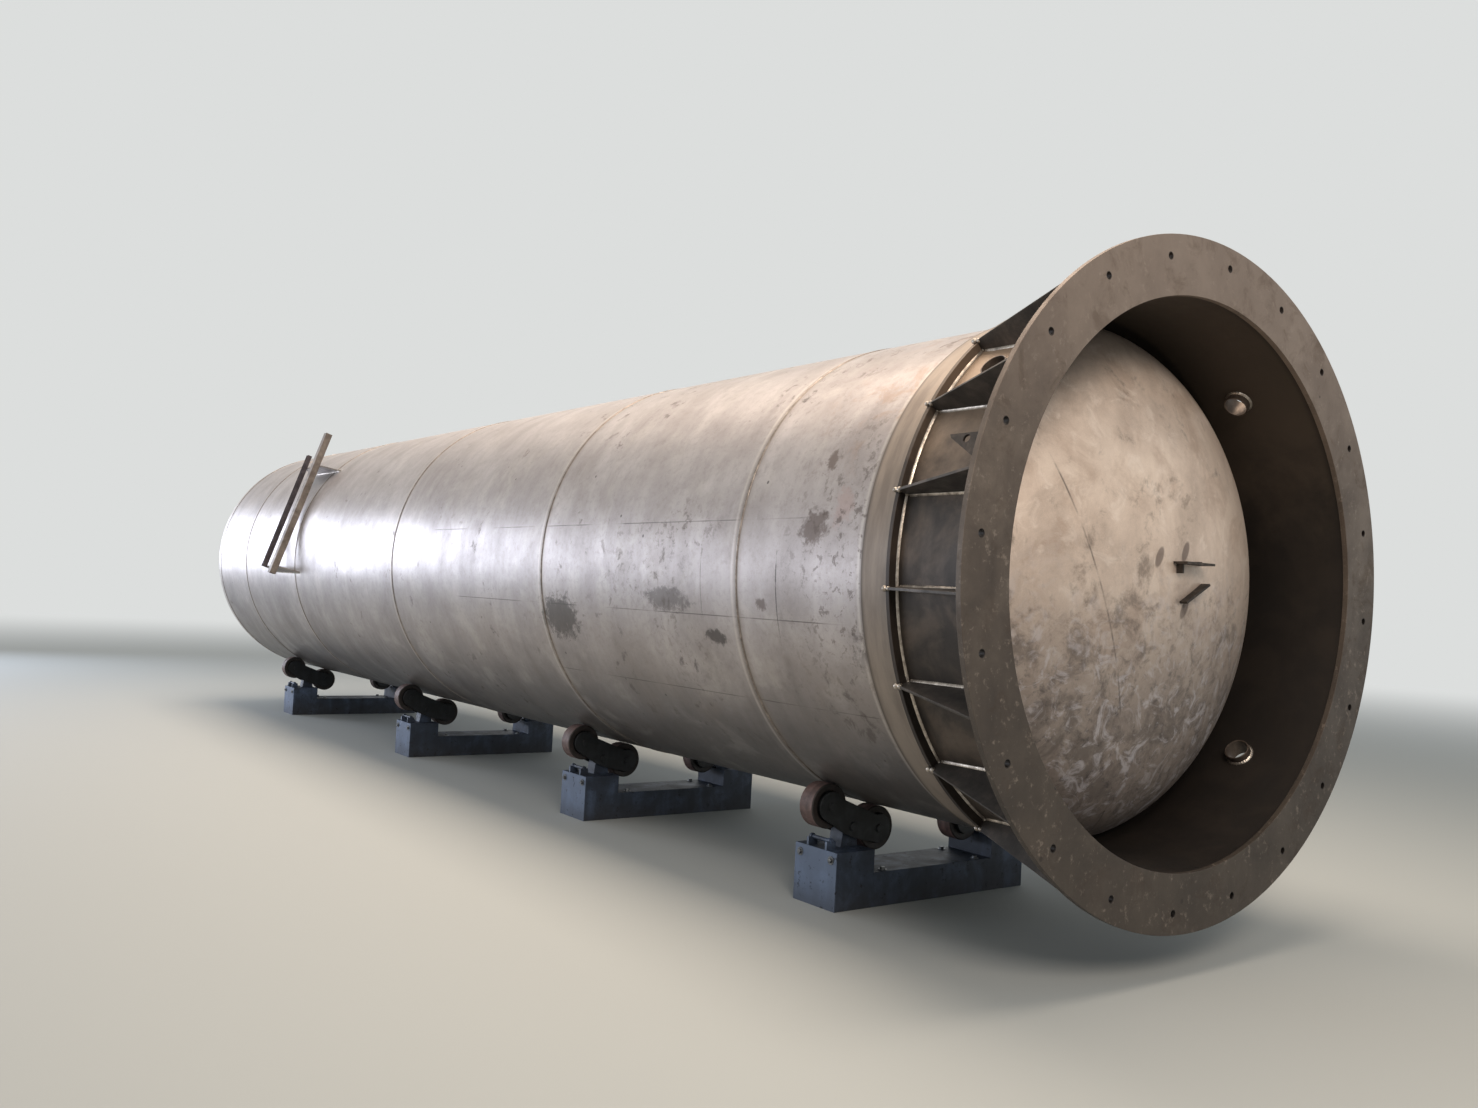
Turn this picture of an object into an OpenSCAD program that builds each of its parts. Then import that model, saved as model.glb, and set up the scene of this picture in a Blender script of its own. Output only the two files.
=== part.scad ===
// Horizontal pressure tank with a support skirt, lying on four sets of turning rolls.
// The vessel's axis runs along X, the skirt's base ring is at +X, and the floor is at z = 0.

/* [Shell] */
// Outside diameter of the shell
shell_od = 2400; // [2200:10:2600]
// Wall of the shell plates
shell_t = 10; // [8:1:14]
// Length of the first course, next to the skirt
course_1_l = 885; // [700:5:1000]
// Length of the second course
course_2_l = 1970; // [1800:5:2100]
// Length of the third course
course_3_l = 2450; // [2300:5:2600]
// Length of the fourth course
course_4_l = 2450; // [2300:5:2600]
// Length of the fifth course
course_5_l = 1660; // [1500:5:1800]
// Length of the last course
course_6_l = 1030; // [900:5:1150]

/* [Heads] */
// Wall of both dished heads
head_t = 12; // [10:1:16]
// Straight flange of both heads
head_flange = 50; // [40:1:60]
// Depth of the dish from its flange to the crown
head_depth = 600; // [500:5:640]
// Points along each half of the dish's section
head_points = 18; // [12:1:24]

/* [Skirt and rings] */
// Wall of the skirt
skirt_t = 12; // [8:1:16]
// Crown of the near head behind the ring's front face
crown_back = 124; // [60:1:200]
// Stand of the base ring outside the skirt
ring_out = 232.7; // [210:0.1:250]
// Stand of the base ring inside the skirt
ring_in = 5.3; // [2:0.1:20]
// Thickness of the base ring
ring_t = 25; // [16:1:36]
// Distance of the anchor holes' circle outside the skirt
bolt_out = 143.7; // [130:0.1:160]
// Number of anchor holes, gussets between them
bolt_count = 20; // [16:4:24]
// Diameter of one anchor hole
bolt_d = 28; // [20:1:36]
// Angle of the first anchor hole from +Y
bolt_start = 13.1; // [10:0.1:16]
// Height of the compression ring above the skirt
comp_h = 44; // [35:1:50]
// Thickness of the compression ring
comp_t = 20; // [12:1:30]
// Distance from the front face to the compression ring
comp_back = 560; // [500:5:620]

/* [Gussets] */
// Thickness of one gusset
gusset_t = 12; // [8:1:16]
// Nose of the gusset over the compression ring
gusset_nose = 12; // [8:1:16]
// Step from the base ring's edge to the gusset's corner
gusset_edge = 10; // [6:1:20]
// Square land at the gusset's outer corner
gusset_land = 14; // [8:1:20]
// Cut at the gusset's inner corners, clear of the ring welds
snipe = 20; // [12:1:26]

/* [Vent sleeves and lug] */
// Outside diameter of a vent sleeve through the skirt
vent_d = 114; // [90:1:130]
// Wall of the vent sleeve
vent_t = 6; // [4:1:8]
// Stand out of the sleeve on both sides of the skirt
vent_out = 40; // [25:1:60]
// Distance from the front face to the vent sleeves
vent_back = 350; // [300:5:400]
// Thickness of the triangular lug
lug_t = 10; // [8:1:12]
// Length of the triangular lug from the base ring
lug_l = 278; // [220:2:290]
// Stand of the triangular lug above the skirt
lug_stand = 95; // [70:1:120]

/* [Bracing bars] */
// Distance of the first bar past the fifth course's seam
bar_past = 96; // [60:1:140]
// Spacing of the two bars
bar_gap = 365; // [320:5:410]
// Length of the first bar
bar_l = 1405; // [1260:5:1450]
// Shift of the first bar towards its upper end
bar_up = 122; // [80:1:160]
// Side of the first bar along the vessel
bar_w = 75; // [60:1:80]
// Depth of the first bar
bar_d = 58; // [50:1:70]
// Wall of the first bar, a box section
bar_t = 4; // [3:0.5:6]
// Length of the second bar, a channel
channel_l = 1145; // [1140:5:1200]
// Shift of the channel towards its upper end
channel_up = 57; // [40:1:65]
// Width of the channel
channel_w = 50; // [40:1:60]
// Depth of the channel
channel_d = 40; // [30:1:50]
// Wall of the channel
channel_t = 5; // [4:0.5:7]
// Gap between the shell and the middle of both bars
bar_off = 25; // [20:1:30]
// Angle of the bars' face from +Y
bar_angle = 161.9; // [155:0.1:165]
// Distance of each bracket from the bars' square point to the vessel
bracket_at = 505; // [470:5:510]
// Thickness of a bracket plate
bracket_t = 12; // [8:1:16]
// Length of a bracket past the outer sides of the bars
bracket_end = 60; // [40:5:80]
// Length of a bracket's taper on the ring's side
bracket_taper = 190; // [120:5:220]

/* [Rolls] */
// Diameter of one wheel
wheel_d = 220; // [200:2:230]
// Width of the tyre
wheel_w = 100; // [90:1:110]
// Diameter of a wheel axle
axle_d = 40; // [30:1:46]
// Angle of the inner wheels from straight down
inner_angle = 14; // [13:0.5:15]
// Angle of the outer wheels from straight down
outer_angle = 29; // [28.5:0.5:30]
// Height of the inner wheels' axles
inner_h = 360; // [355:1:390]
// Thickness of the rocker's side plates
rocker_t = 12; // [10:1:14]
// Radius of the rocker's ends round the axles
rocker_r = 72; // [60:1:80]
// Depth of the pivot below the wheels' line
pivot_drop = 45; // [40:1:50]
// Diameter of the pivot pin
pivot_d = 44; // [36:1:48]
// Length of a roll base across the vessel
base_l = 1334; // [1320:2:1400]
// Width of a roll base along the vessel
base_w = 310; // [280:5:340]
// Height of the pedestals
base_h = 280; // [270:1:285]
// Height of the low middle of a base
base_mid_h = 168; // [140:2:180]
// Plate thickness of the bases
base_t = 12; // [10:1:16]
// Length of a pedestal
pedestal_l = 247; // [235:1:255]
// Width of the feet under a base's sides
foot_w = 60; // [40:2:80]
// Length of the yoke on a pedestal's end
yoke_l = 62; // [50:2:70]
// Height of the yoke's ears
yoke_h = 56; // [44:1:60]
// Outside width of the yoke
yoke_w = 150; // [120:2:180]
// Thickness of the yoke's ears
ear_t = 14; // [10:1:18]
// First set of rolls, from the front face
rolls_1_back = 1605; // [1500:5:1700]
// Second set of rolls
rolls_2_back = 4035; // [3900:5:4150]
// Third set of rolls
rolls_3_back = 6996; // [6900:5:7100]
// Fourth set of rolls
rolls_4_back = 10232; // [10100:5:10300]

/* [Hidden] */
$fn = 96;
seat = 0.3;
R = shell_od / 2;
r_wheel = wheel_d / 2;
reach = R + r_wheel + seat;
axis_h = inner_h + reach * cos(inner_angle);
head_out_back = crown_back + head_depth;
shell_start = head_out_back + head_flange;
starts = [0, course_1_l, course_1_l + course_2_l, course_1_l + course_2_l + course_3_l,
    course_1_l + course_2_l + course_3_l + course_4_l,
    course_1_l + course_2_l + course_3_l + course_4_l + course_5_l];
course_lengths = [course_1_l, course_2_l, course_3_l, course_4_l, course_5_l, course_6_l];
shell_l = starts[5] + course_6_l;
total_l = shell_start + shell_l + head_flange + head_depth;
x_face = total_l / 2;
skirt_r = R + seat;
skirt_out = skirt_r + skirt_t;
comp_r = skirt_out + comp_h;
ring_r = skirt_out + ring_out;
ring_bore_r = skirt_r - ring_in;
bolt_r = skirt_out + bolt_out;
gusset_turn = 180 / bolt_count;
pocket = 360 / bolt_count;
vent_angles = [for (k = [0:3]) bolt_start + pocket * (bolt_count / 10 + k * bolt_count / 4)];
lug_angle = bolt_start + pocket * 8;
bar_back = shell_start + starts[4] + bar_past;
far_tangent = shell_start + shell_l + head_flange;
mid_angle = (inner_angle + outer_angle) / 2;
rim_d = wheel_d - 60;
hub_d = axle_d + 32;
hub_w = wheel_w + 6;
cheek_in = hub_w / 2 + 4;
lug_w = 2 * (cheek_in - 12);
chord = 2 * reach * sin((outer_angle - inner_angle) / 2);
pivot_r = reach * cos((outer_angle - inner_angle) / 2) + pivot_drop;
pivot_y = pivot_r * sin(mid_angle);
pivot_z = axis_h - pivot_r * cos(mid_angle);
rolls_back = [rolls_1_back, rolls_2_back, rolls_3_back, rolls_4_back];

// Places a child built along Z, with its own X along +Y and its own Y upward, on the axis
module on_axis(back) {
    translate([x_face - back, 0, axis_h]) rotate([90, 0, 90]) children();
}

// Turns a child built in the radial plane, r along X and back along Z, to an angle
module at_angle(a) {
    on_axis(0) rotate([0, 0, a]) children();
}

// Ring between two radii, running back from a distance behind the front face
module band(back, l, r_out, r_in) {
    on_axis(back + l) difference() {
        cylinder(r = r_out, h = l);
        translate([0, 0, -1]) cylinder(r = r_in, h = l + 2);
    }
}

// Section of a dished head with its flange, open end at z = 0 and crown on +Z
module dish_section() {
    ri = R - head_t;
    di = head_depth - head_t;
    step = 90 / head_points;
    outer = [for (k = [0:head_points]) [R * cos(k * step), head_flange + head_depth * sin(k * step)]];
    inner = [for (k = [head_points:-1:0]) [ri * cos(k * step), head_flange + di * sin(k * step)]];
    polygon(concat([[R, 0]], outer, inner, [[ri, 0]]));
}

module shell_course(k) {
    color("#b9b1a8") band(shell_start + starts[k], course_lengths[k], R, R - shell_t);
}

module far_head() {
    color("#d9d2c8") translate([x_face - shell_start - shell_l, 0, axis_h])
        rotate([0, -90, 0]) rotate_extrude() dish_section();
}

module near_head() {
    color("#a5988c") translate([x_face - shell_start, 0, axis_h])
        rotate([0, 90, 0]) rotate_extrude() dish_section();
}

// Skirt lapped over the near head's flange, bored for the vent sleeves
module skirt() {
    color("#5b5550") difference() {
        band(ring_t, shell_start - ring_t - seat, skirt_out, skirt_r);
        for (a = vent_angles)
            on_axis(vent_back) rotate([0, 0, a]) rotate([0, 90, 0])
                translate([0, 0, R - 100]) cylinder(d = vent_d + 2 * seat, h = 200);
    }
}

module compression_ring() {
    color("#514841") band(comp_back, comp_t, comp_r, skirt_out + seat);
}

module base_ring() {
    color("#7a6d62") difference() {
        band(0, ring_t, ring_r, ring_bore_r);
        for (k = [0:bolt_count - 1])
            on_axis(ring_t + 1) rotate([0, 0, bolt_start + k * pocket])
                translate([bolt_r, 0, 0]) cylinder(d = bolt_d, h = ring_t + 2);
    }
}

// Tapered plate from the base ring's back to a nose over the compression ring
module gusset() {
    corner = ring_r - gusset_edge;
    low = skirt_out + seat;
    rotate([90, 0, 0]) translate([0, 0, -gusset_t / 2]) linear_extrude(gusset_t)
        polygon([[low + snipe, -ring_t], [corner, -ring_t], [corner, -ring_t - gusset_land],
            [comp_r + gusset_nose, -comp_back], [comp_r + gusset_nose - 4, -comp_back - comp_t],
            [comp_r + seat, -comp_back - comp_t], [comp_r + seat, -comp_back],
            [low + snipe, -comp_back], [low, -comp_back + snipe], [low, -ring_t - snipe]]);
}

module gussets() {
    color("#4a4541") for (k = [0:bolt_count - 1])
        at_angle(bolt_start - gusset_turn + k * pocket) gusset();
}

module vent_sleeves() {
    color("#8a7a6c") for (a = vent_angles)
        on_axis(vent_back) rotate([0, 0, a]) rotate([0, 90, 0])
            translate([0, 0, skirt_r - vent_out]) difference() {
                cylinder(d = vent_d, h = skirt_t + 2 * vent_out);
                translate([0, 0, -1]) cylinder(d = vent_d - 2 * vent_t, h = skirt_t + 2 * vent_out + 2);
            }
}

// Three-cornered plate with one hole, welded to the base ring's back between two gussets
module skirt_lug() {
    color("#453c36") at_angle(lug_angle) translate([skirt_out + lug_stand, 0, -ring_t])
        rotate([0, 90, 0]) linear_extrude(lug_t) difference() {
            polygon([[0, 9], [lug_l, 9], [lug_l - 10, 25], [0, lug_l * 0.68]]);
            translate([lug_l * 0.66, 34]) circle(d = 34);
        }
}

// Two flat bars, a stub and a rod tacked to the near head's crown
module head_cleats() {
    foot = x_face - crown_back - 40;
    color("#6f645c") intersection() {
        union() {
            translate([foot, -22, axis_h + 84]) cube([105, 205, 10]);
            translate([foot, 0, axis_h + 44]) cube([70, 10, 40.5]);
            translate([foot, 36, axis_h - 84]) rotate([27, 0, 0]) cube([75, 185, 10]);
            translate([foot, 70, axis_h + 92]) rotate([0, 90, 15]) cylinder(d = 12, h = 100);
        }
        difference() {
            translate([foot, -400, axis_h - 400]) cube([200, 800, 800]);
            translate([x_face - shell_start, 0, axis_h]) rotate([0, 90, 0])
                rotate_extrude() offset_dish();
        }
    }
}

// Solid of the dish one seat larger than the head, used to cut the cleats' feet
module offset_dish() {
    step = 90 / head_points;
    polygon(concat([[0, 0], [R, 0]], [for (k = [0:head_points])
        [R * cos(k * step), head_flange + (head_depth + seat) * sin(k * step)]]));
}

// Straight bar across the shell, its section drawn with X outwards and Y along the vessel
module chord_bar(back, l, up) {
    at_angle(bar_angle) translate([R + bar_off, l / 2 - up, -back]) rotate([90, 0, 0])
        linear_extrude(l) children();
}

module brace_bar() {
    color("#8f8078") chord_bar(bar_back, bar_l, bar_up) difference() {
        translate([0, -bar_w / 2]) square([bar_d, bar_w]);
        translate([bar_t, bar_t - bar_w / 2]) square([bar_d - 2 * bar_t, bar_w - 2 * bar_t]);
    }
}

module brace_channel() {
    color("#4a4248") chord_bar(bar_back + bar_gap, channel_l, channel_up) difference() {
        translate([0, -channel_w / 2]) square([channel_d, channel_w]);
        translate([channel_t, channel_t - channel_w / 2])
            square([channel_d, channel_w - 2 * channel_t]);
    }
}

// Two tapered plates square to the bars that carry both off the shell
module brace_brackets() {
    near_edge = -bar_back + bar_w / 2 + bracket_end / 2;
    back_edge = -bar_back - bar_gap - channel_w / 2 - bracket_end;
    deep = sqrt(R * R - (bracket_at + bracket_t) * (bracket_at + bracket_t)) - 5;
    color("#a39b93") difference() {
        for (side = [-1, 1]) at_angle(bar_angle)
            translate([0, side * bracket_at + bracket_t / 2, 0]) rotate([90, 0, 0])
                linear_extrude(bracket_t)
                    polygon([[deep, near_edge + bracket_taper], [R + bar_off, near_edge],
                        [R + bar_off, back_edge], [deep, back_edge]]);
        on_axis(bar_back + bar_gap + 400) cylinder(r = R + seat, h = bar_gap + 1000, $fn = 360);
    }
}

// Side plate of a base in y and z: two pedestals and a low middle
module base_side() {
    half = base_l / 2 - base_t;
    inner = base_l / 2 - pedestal_l;
    polygon([[-half, 0], [half, 0], [half, base_h - base_t], [inner, base_h - base_t],
        [inner, base_mid_h - base_t], [-inner, base_mid_h - base_t], [-inner, base_h - base_t],
        [-half, base_h - base_t]]);
}

// Lug between the wheels that carries the rocker's pin
module pivot_lug() {
    boss = pivot_d + 36;
    translate([-lug_w / 2, 0, 0]) rotate([90, 0, 90]) linear_extrude(lug_w) difference() {
        union() {
            translate([pivot_y, pivot_z]) circle(d = boss);
            polygon([[pivot_y - boss / 2, pivot_z], [pivot_y + boss / 2, pivot_z],
                [pivot_y + boss / 2 + 14, base_h], [pivot_y - boss / 2 - 14, base_h]]);
        }
        translate([pivot_y, pivot_z]) circle(d = pivot_d + 0.2);
    }
}

// Yoke on a pedestal's end: two ears and the pin through them, under the outer wheel
module end_yoke() {
    y0 = base_l / 2 - yoke_l;
    for (s = [-1, 1]) translate([s * (yoke_w / 2 - ear_t / 2) - ear_t / 2, y0, base_h])
        rotate([90, 0, 90]) linear_extrude(ear_t) union() {
            square([yoke_l - 4, yoke_h - yoke_l / 4]);
            translate([yoke_l / 2 - 2, yoke_h - yoke_l / 4]) circle(d = yoke_l / 2);
        }
    translate([-yoke_w / 2 - 8, y0 + yoke_l / 2 - 2, base_h + yoke_h - yoke_l / 4])
        rotate([0, 90, 0]) cylinder(d = yoke_l / 3, h = yoke_w + 16);
}

// Fabricated beam across the vessel: side plates with feet, end plates, decks and both lugs
module rolls_base(k) {
    half = base_l / 2;
    inner = half - pedestal_l;
    color("#3d4656") translate([x_face - rolls_back[k], 0, 0]) {
        for (side = [-1, 1]) {
            translate([side * (base_w / 2 - base_t / 2) - base_t / 2, 0, 0])
                rotate([90, 0, 90]) linear_extrude(base_t) base_side();
            translate([side * (base_w / 2 - foot_w / 2) - foot_w / 2, -half + base_t, 0])
                cube([foot_w, base_l - 2 * base_t, base_t]);
        }
        for (side = [-1, 1]) mirror([0, side < 0 ? 1 : 0, 0]) {
            translate([-base_w / 2, half - base_t, 0]) cube([base_w, base_t, base_h]);
            translate([-base_w / 2, inner, base_h - base_t]) cube([base_w, pedestal_l - base_t, base_t]);
            translate([-base_w / 2, inner, base_mid_h - base_t])
                cube([base_w, base_t, base_h - base_mid_h + base_t]);
            translate([-base_w / 2, pivot_y - base_t / 2, 0]) cube([base_w, base_t, base_h]);
            pivot_lug();
            end_yoke();
        }
        translate([-base_w / 2, -inner, base_mid_h - base_t]) cube([base_w, 2 * inner, base_t]);
    }
}

// Side plate of a rocker in y and z: round ends and a straight top, bellied at the pivot
module rocker_plate() {
    iy = reach * sin(inner_angle);
    iz = axis_h - reach * cos(inner_angle);
    oy = reach * sin(outer_angle);
    oz = axis_h - reach * cos(outer_angle);
    belly = pivot_drop + pivot_d / 2 + 26;
    union() {
        translate([iy, iz]) circle(r = rocker_r);
        translate([oy, oz]) circle(r = rocker_r);
        translate([(iy + oy) / 2, (iz + oz) / 2]) rotate(mid_angle) polygon([
            [-chord / 2, -rocker_r], [-pivot_d, -belly], [pivot_d, -belly],
            [chord / 2, -rocker_r], [chord / 2, rocker_r * 0.8], [-chord / 2, rocker_r * 0.8]]);
    }
}

module rocker(k, side) {
    color("#2b2f36") translate([x_face - rolls_back[k], 0, 0]) mirror([0, side < 0 ? 1 : 0, 0]) {
        for (s = [-1, 1])
            translate([s * (cheek_in + rocker_t / 2) - rocker_t / 2, 0, 0])
                rotate([90, 0, 90]) linear_extrude(rocker_t) rocker_plate();
        pin_half = cheek_in + rocker_t + 8;
        for (a = [inner_angle, outer_angle])
            translate([-pin_half, reach * sin(a), axis_h - reach * cos(a)])
                rotate([0, 90, 0]) cylinder(d = axle_d, h = 2 * pin_half);
        translate([-pin_half, pivot_y, pivot_z]) rotate([0, 90, 0])
            cylinder(d = pivot_d, h = 2 * pin_half);
    }
}

// Tyred wheel with a recessed web and a bored hub
module wheel(k, side, a) {
    bore = axle_d / 2 + 0.05;
    web = 14;
    color("#8a5a50") translate([x_face - rolls_back[k], side * reach * sin(a), axis_h - reach * cos(a)])
        rotate([0, 90, 0])
            rotate_extrude() polygon([[bore, -hub_w / 2], [hub_d / 2, -hub_w / 2], [hub_d / 2, -web],
                [rim_d / 2 - 8, -web], [rim_d / 2 - 4, -wheel_w / 2 + 4], [r_wheel - 5, -wheel_w / 2],
                [r_wheel, -wheel_w / 2 + 5], [r_wheel, wheel_w / 2 - 5], [r_wheel - 5, wheel_w / 2],
                [rim_d / 2 - 4, wheel_w / 2 - 4], [rim_d / 2 - 8, web], [hub_d / 2, web],
                [hub_d / 2, hub_w / 2], [bore, hub_w / 2]]);
}

for (k = [0:5])
    shell_course(k);
far_head();
near_head();
skirt();
compression_ring();
base_ring();
gussets();
vent_sleeves();
skirt_lug();
head_cleats();
brace_bar();
brace_channel();
brace_brackets();
for (k = [0:3]) {
    rolls_base(k);
    rocker(k, -1);
    rocker(k, 1);
    wheel(k, -1, outer_angle);
    wheel(k, -1, inner_angle);
    wheel(k, 1, inner_angle);
    wheel(k, 1, outer_angle);
}
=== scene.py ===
"""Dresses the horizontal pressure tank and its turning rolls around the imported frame."""

import math

import bmesh
import bpy
import numpy as np
from mathutils import Matrix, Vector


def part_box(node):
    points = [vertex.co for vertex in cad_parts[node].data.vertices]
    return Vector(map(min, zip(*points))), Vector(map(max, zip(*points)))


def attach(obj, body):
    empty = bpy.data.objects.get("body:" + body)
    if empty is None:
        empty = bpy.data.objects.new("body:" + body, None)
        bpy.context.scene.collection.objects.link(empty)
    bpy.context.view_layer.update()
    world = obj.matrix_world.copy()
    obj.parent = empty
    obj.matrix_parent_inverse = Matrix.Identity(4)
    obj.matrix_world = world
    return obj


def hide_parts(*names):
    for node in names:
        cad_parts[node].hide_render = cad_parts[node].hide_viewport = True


bl_info = {
    "name": "Pressure tank on turning rolls",
    "version": (1, 0, 0),
    "blender": (4, 5, 0),
    "location": "View3D > Sidebar > Tank",
    "description": "Builds the looks of a horizontal pressure tank lying on turning rolls",
    "category": "Object",
}

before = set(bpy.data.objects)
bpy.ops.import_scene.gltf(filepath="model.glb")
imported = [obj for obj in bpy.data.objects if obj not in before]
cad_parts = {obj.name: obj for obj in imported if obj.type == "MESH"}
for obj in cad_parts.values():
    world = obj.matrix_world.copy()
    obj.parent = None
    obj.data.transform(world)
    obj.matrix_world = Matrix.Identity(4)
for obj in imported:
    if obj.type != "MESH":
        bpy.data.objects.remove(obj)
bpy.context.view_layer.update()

# Sizes read from the frame, in metres
COURSES = ["shell_course_%d" % k for k in range(1, 7)]
WHEELS = ["wheel_%d_%s" % (k, s) for k in range(1, 5)
          for s in ("near_outer", "near_inner", "far_inner", "far_outer")]
ROCKERS = ["rolls_%d_%s_rocker" % (k, s) for k in range(1, 5) for s in ("near", "far")]
BASES = ["rolls_%d_base" % k for k in range(1, 5)]
COURSE_LO, COURSE_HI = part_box("shell_course_1")
SHELL_R = (COURSE_HI[2] - COURSE_LO[2]) / 2
AXIS_Z = (COURSE_HI[2] + COURSE_LO[2]) / 2
SEAMS = [float(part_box(n)[0][0]) for n in COURSES]
NEAR_TANGENT, FAR_TANGENT = float(COURSE_HI[0]), SEAMS[-1]
FACE_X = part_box("base_ring")[1][0]
RING_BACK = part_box("base_ring")[0][0]
RING_R = (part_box("base_ring")[1][2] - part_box("base_ring")[0][2]) / 2
SKIRT_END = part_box("skirt")[0][0]
SKIRT_R = (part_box("skirt")[1][2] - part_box("skirt")[0][2]) / 2
COMP_LO, COMP_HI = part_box("compression_ring")
COMP_R = (COMP_HI[2] - COMP_LO[2]) / 2
BRACKET_LO, BRACKET_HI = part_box("brace_brackets")
VENT_R = (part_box("vent_sleeves")[1][0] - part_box("vent_sleeves")[0][0]) / 2
BASE_HALF = (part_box("rolls_1_base")[1][1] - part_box("rolls_1_base")[0][1]) / 2

# Sizes that a box doesn't tell, the same as in the part's source
SHELL_T, HEAD_T, SKIRT_T, GUSSET_T, BRACKET_T = 0.010, 0.012, 0.012, 0.012, 0.012
HEAD_FLANGE = 0.050
GUSSETS = 20
PITCH_DEG = 360 / GUSSETS
BOLT_START_DEG = 13.1
GUSSET_ANGLES = [BOLT_START_DEG - PITCH_DEG / 2 + PITCH_DEG * k for k in range(GUSSETS)]
VENT_ANGLES = [BOLT_START_DEG + PITCH_DEG * (2 + 5 * k) for k in range(4)]
VENT_X = FACE_X - 0.350
BOLT_R, BOLT_HOLE_R = RING_R - 0.089, 0.014
BRACKET_AT = 0.505
BAR_ANGLE = math.radians(161.9)
TYRE_DEPTH, TREAD_DEPTH = 0.034, 0.002

# Fineness of the round surfaces and of the beads that run round them
ROUND_STEPS, BEAD_STEPS = 256, 720
# How far the plates stay inside the CAD's radius, so that no wave passes it
SHELL_INSET, HEAD_INSET = 0.0004, 0.0005
# How far from a seam a course is drawn in, and the shares of that and of a general waver
PULL_REACH, PULL_SHARE, WAVER_SHARE = 0.07, 0.7, 0.6
HEAD_WAVE = 0.003
# Butt welds of the seams and along the courses: lift of the crown over the shell, depth of
# root and toe under it, and how far out the toe lies as a share of half the width
GIRTH_WELD = (0.0018, 0.004, 0.0008, 0.85)
LONG_WELD, LONG_HALF = (0.0006, 0.005, 0.0012, 0.8), 0.006
# Long weld of each course, in degrees from the far side's middle upwards
LONG_WELD_ANGLES = (62, 20, 48, 5, 300, 70)
# How far a weld stays off its plate's ends
END_GAP = 0.004
# Section of a fillet bead as shares of its leg: the face's far and near reach, and the root
FACE_FAR, FACE_NEAR, ROOT = 0.72, 0.42, 0.25
# Shares of a bead's size that come and go with the ripples and with the noise
RIPPLE_SHARE, DRIFT_SHARE = 0.10, 0.12
# Weld blobs at a gusset's tips: X, radius from the axis, and size
TIPS = ((COMP_LO[0] + 0.002, COMP_R + 0.006, 0.013),
        (COMP_HI[0] + 0.004, COMP_R + 0.006, 0.011),
        (COMP_HI[0] + 0.004, SKIRT_R + 0.004, 0.010))
# CAD nodes: angles in degrees up to which faces are shaded as one and merged into one,
# and the reach in which corners are merged
CAD_SMOOTH, CAD_DISSOLVE, CAD_MERGE = 32, 0.4, 2e-5
# Widest angle between two faces whose edge stays unsoftened, and the softening of a wheel
EDGE_ANGLE, WHEEL_EDGE = math.radians(40), 0.0012

# Bolts on the roll bases, from a base's middle and the floor: on the ends and on the decks
END_BOLT_X, END_BOLT_Z, END_BOLT_R = 0.115, 0.240, 0.011
DECK_BOLT_X, DECK_BOLT_Y, DECK_BOLT_Z, DECK_BOLT_R = 0.12, 0.33, 0.168, 0.012

# Layout lines along the shell: angle above the near side's middle, and reach along X
SCRIBES = [(10.0, 0.67, 4.71), (-12.0, 1.10, 5.07), (-32.0, 2.32, 5.05)]
# Stains on the rolled-out shell: X, arc from the near side's middle, half sizes in metres,
# colour and strength
SHELL_MARKS = [(4.82, 0.164, 0.095, 0.096, "#54463f", 0.75),
               (4.465, -0.182, 0.041, 0.032, "#54463f", 0.7),
               (4.074, -0.359, 0.102, 0.041, "#37312f", 0.8),
               (4.829, 0.468, 0.038, 0.062, "#5c4d45", 0.75),
               (4.989, 0.253, 0.068, 0.096, "#a58f8a", 0.5),
               (2.502, -0.325, 0.251, 0.148, "#393532", 0.8),
               (3.665, -0.183, 0.235, 0.069, "#4a4440", 0.65),
               (4.579, -0.13, 0.005, 0.213, "#35302e", 0.75),
               (3.984, -0.115, 0.003, 0.209, "#35302e", 0.5)]
# Rubbed ovals on the near head: off the axis along Y and Z, with half sizes and lean
HEAD_OVALS = ((-0.113, 0.106), (0.071, 0.139), (0.075, -0.105))
OVAL_HALVES, OVAL_LEAN = (1000, 0.022, 0.050), math.radians(-28)
# Ground weld across the near head: how far off the axis, and square to which direction
HEAD_SEAM_OFF = -0.425
HEAD_SEAM_Y, HEAD_SEAM_Z = -0.927, 0.374

# Camera: lens in mm, angles in degrees, and its place from the ring's face and the axis
LENS, SENSOR = 29.73, 36
YAW, PITCH, ROLL = 36.35, 1.98, 2.99
CAMERA_AT = (FACE_X + 2.951, -4.576, AXIS_Z - 0.151)
# Lamps: name, place, aim, width and height in metres, watts and colour
LAMPS = (("roof_light", (0.5, -0.5, 8.0), (0.5, 0, 0), (15, 4), 530, "#ffe9d3"),
         ("door_light", (-13.0, -5.5, 2.7), (-4, 0, 1.3), (5, 3.6), 250, "#e4ecff"),
         ("side_light", (-4.0, -10.0, 1.9), (-1, 0, 1.2), (9, 1.8), 145, "#e2eafb"),
         ("front_fill", (12.5, -5.2, 6.7), (5, 0, 1.7), (3.5, 3.5), 245, "#ffeede"))
LAMP_SPREAD = math.radians(120)
WORLD_LIGHT = 0.5
FLOOR_HALF = 600
# Where the floor starts and ends its fade into the backdrop, from the middle of the part
FADE_FROM, FADE_TO = 8.0, 30.0

# Shares of broad blotches, drawn streaks and fine grain in a finish's pattern
BLOTCH_SHARE, STREAK_SHARE, GRAIN_SHARE = 0.55, 0.28, 0.17
# Where the pattern has its dark, middle and light tone
TONE_STOPS = (0.36, 0.50, 0.64)


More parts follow.
